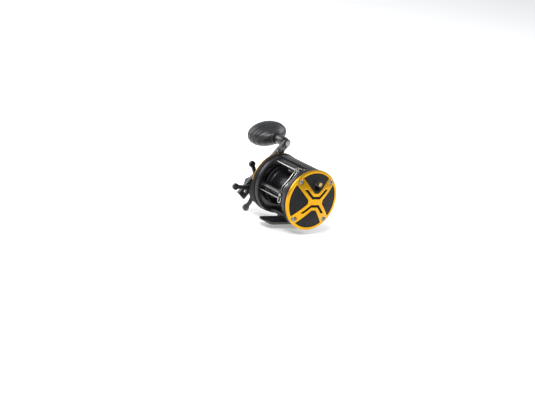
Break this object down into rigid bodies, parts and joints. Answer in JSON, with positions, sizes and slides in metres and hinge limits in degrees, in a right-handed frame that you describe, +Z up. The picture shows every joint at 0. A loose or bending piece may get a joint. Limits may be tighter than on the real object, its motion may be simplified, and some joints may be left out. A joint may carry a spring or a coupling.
{
  "type": "trolling reel",
  "caption": "Level-wind conventional fishing reel with round side plates, star drag, crank handle, line guide and rod foot.",
  "frame": {"origin": "middle of the flat seat under the foot, where it sits on the rod's reel seat", "axes": "+X along the spool axis from the handle side to the tail plate, +Y along the rod towards its butt, +Z up from the foot to the spool"},
  "size_m": [0.1788, 0.1038, 0.1031],
  "materials": {
    "gold_anodised": "satin gold anodised",
    "textured_black": "fine textured black",
    "graphite_frame": "satin dark grey",
    "gloss_black": "semi-gloss black",
    "arm_metal": "semi-gloss black",
    "spool_anodised": "black anodised",
    "rubber_grip": "soft matte",
    "bright_steel": "polished",
    "steel": "brushed",
    "carbon": "woven carbon fibre",
    "brass": "machined",
    "black_plastic": "moulded"
  },
  "bodies": {
    "frame_body": {"frame": "graphite_frame", "reel_foot": "gloss_black", "foot_screw_front": "steel", "foot_screw_rear": "steel", "tail_plate": "textured_black", "tail_cover": "gold_anodised", "tail_screw_1": "steel", "tail_screw_2": "steel", "tail_screw_3": "steel", "tail_screw_4": "steel", "tail_bearing": "steel", "head_bearing": "steel", "idler_stud": "steel", "worm_tube": "graphite_frame", "worm_bush_head": "brass", "worm_bush_tail": "brass", "guide_bar": "steel", "top_bar": "bright_steel", "head_plate": "textured_black", "head_ring": "gold_anodised", "head_screw_1": "steel", "head_screw_2": "steel", "head_screw_3": "steel", "head_screw_4": "steel", "gear_bridge": "steel", "bearing_cap": "gloss_black"},
    "drive_body": {"drive_sleeve": "steel", "anti_reverse_ratchet": "steel", "main_gear": "brass", "carbon_drag_washer": "carbon", "metal_drag_washer": "steel", "handle_arm": "arm_metal", "handle_nut": "gloss_black", "knob_spindle": "bright_steel"},
    "star_body": {"star_drag": "gloss_black", "drag_spacer": "brass"},
    "knob_body": {"handle_knob": "rubber_grip", "knob_collar": "gloss_black"},
    "lever_body": {"free_spool_lever": "gloss_black"},
    "yoke_body": {"yoke": "brass", "yoke_spring_lower": "steel", "yoke_spring_upper": "steel"},
    "pinion_body": {"pinion": "brass"},
    "spool_body": {"spool": "spool_anodised", "spool_shaft": "steel", "click_gear": "brass", "spool_gear": "brass"},
    "idler_body": {"idler_gear": "black_plastic"},
    "worm_body": {"worm_gear": "brass", "worm_shaft": "steel"},
    "line_guide_body": {"line_guide_carriage": "graphite_frame", "level_wind_pawl": "steel", "pawl_cap": "bright_steel", "guide_wire_head": "bright_steel", "guide_wire_tail": "bright_steel", "lower_wire_loop": "bright_steel"},
    "clicker_body": {"clicker_button": "gloss_black", "clicker_tongue": "steel"},
    "dog_body": {"anti_reverse_dog": "steel"}
  },
  "joints": [
    {"name": "handle_turn", "type": "hinge", "parent": "frame_body", "child": "drive_body", "pos_m": [-0.05, -0.01369, 0.0246], "axis": [1, 0, 0], "continuous": true},
    {"name": "spool_spin", "type": "hinge", "parent": "frame_body", "child": "spool_body", "pos_m": [0, 0, 0.0365], "axis": [1, 0, 0], "continuous": true},
    {"name": "free_spool_lever_swing", "type": "hinge", "parent": "frame_body", "child": "lever_body", "pos_m": [-0.032, 0, 0.0365], "axis": [1, 0, 0], "range_deg": [-25, 0]},
    {"name": "yoke_slide", "type": "slide", "parent": "frame_body", "child": "yoke_body", "axis": [-1, 0, 0], "range_m": [0, 0.0025]},
    {"name": "pinion_spin", "type": "hinge", "parent": "yoke_body", "child": "pinion_body", "pos_m": [-0.04, 0, 0.0365], "axis": [1, 0, 0], "continuous": true},
    {"name": "idler_spin", "type": "hinge", "parent": "frame_body", "child": "idler_body", "pos_m": [0.032, -0.01478, 0.03729], "axis": [1, 0, 0], "continuous": true},
    {"name": "worm_spin", "type": "hinge", "parent": "frame_body", "child": "worm_body", "pos_m": [0, -0.02996, 0.0381], "axis": [1, 0, 0], "continuous": true},
    {"name": "line_guide_slide", "type": "slide", "parent": "frame_body", "child": "line_guide_body", "axis": [1, 0, 0], "range_m": [-0.0388, 0]},
    {"name": "star_drag_turn", "type": "hinge", "parent": "drive_body", "child": "star_body", "pos_m": [-0.055, -0.01369, 0.0246], "axis": [1, 0, 0], "range_deg": [-180, 180]},
    {"name": "knob_spin", "type": "hinge", "parent": "drive_body", "child": "knob_body", "pos_m": [-0.1, 0.02986, 0.07838], "axis": [1, 0, 0], "continuous": true},
    {"name": "clicker_slide", "type": "slide", "parent": "frame_body", "child": "clicker_body", "axis": [0, 0, 1], "range_m": [-0.006, 0]},
    {"name": "dog_rock", "type": "hinge", "parent": "frame_body", "child": "dog_body", "pos_m": [-0.035, -0.01413, 0.01201], "axis": [1, 0, 0], "range_deg": [0, 8]}
  ],
  "couplings": [
    {"joint": "spool_spin", "follows": "handle_turn", "ratio": -4.9},
    {"joint": "pinion_spin", "follows": "handle_turn", "ratio": -4.9},
    {"joint": "idler_spin", "follows": "handle_turn", "ratio": 2.9826},
    {"joint": "worm_spin", "follows": "handle_turn", "ratio": -4.5733},
    {"joint": "yoke_slide", "follows": "free_spool_lever_swing", "m_per_rad": -0.0057296}
  ]
}
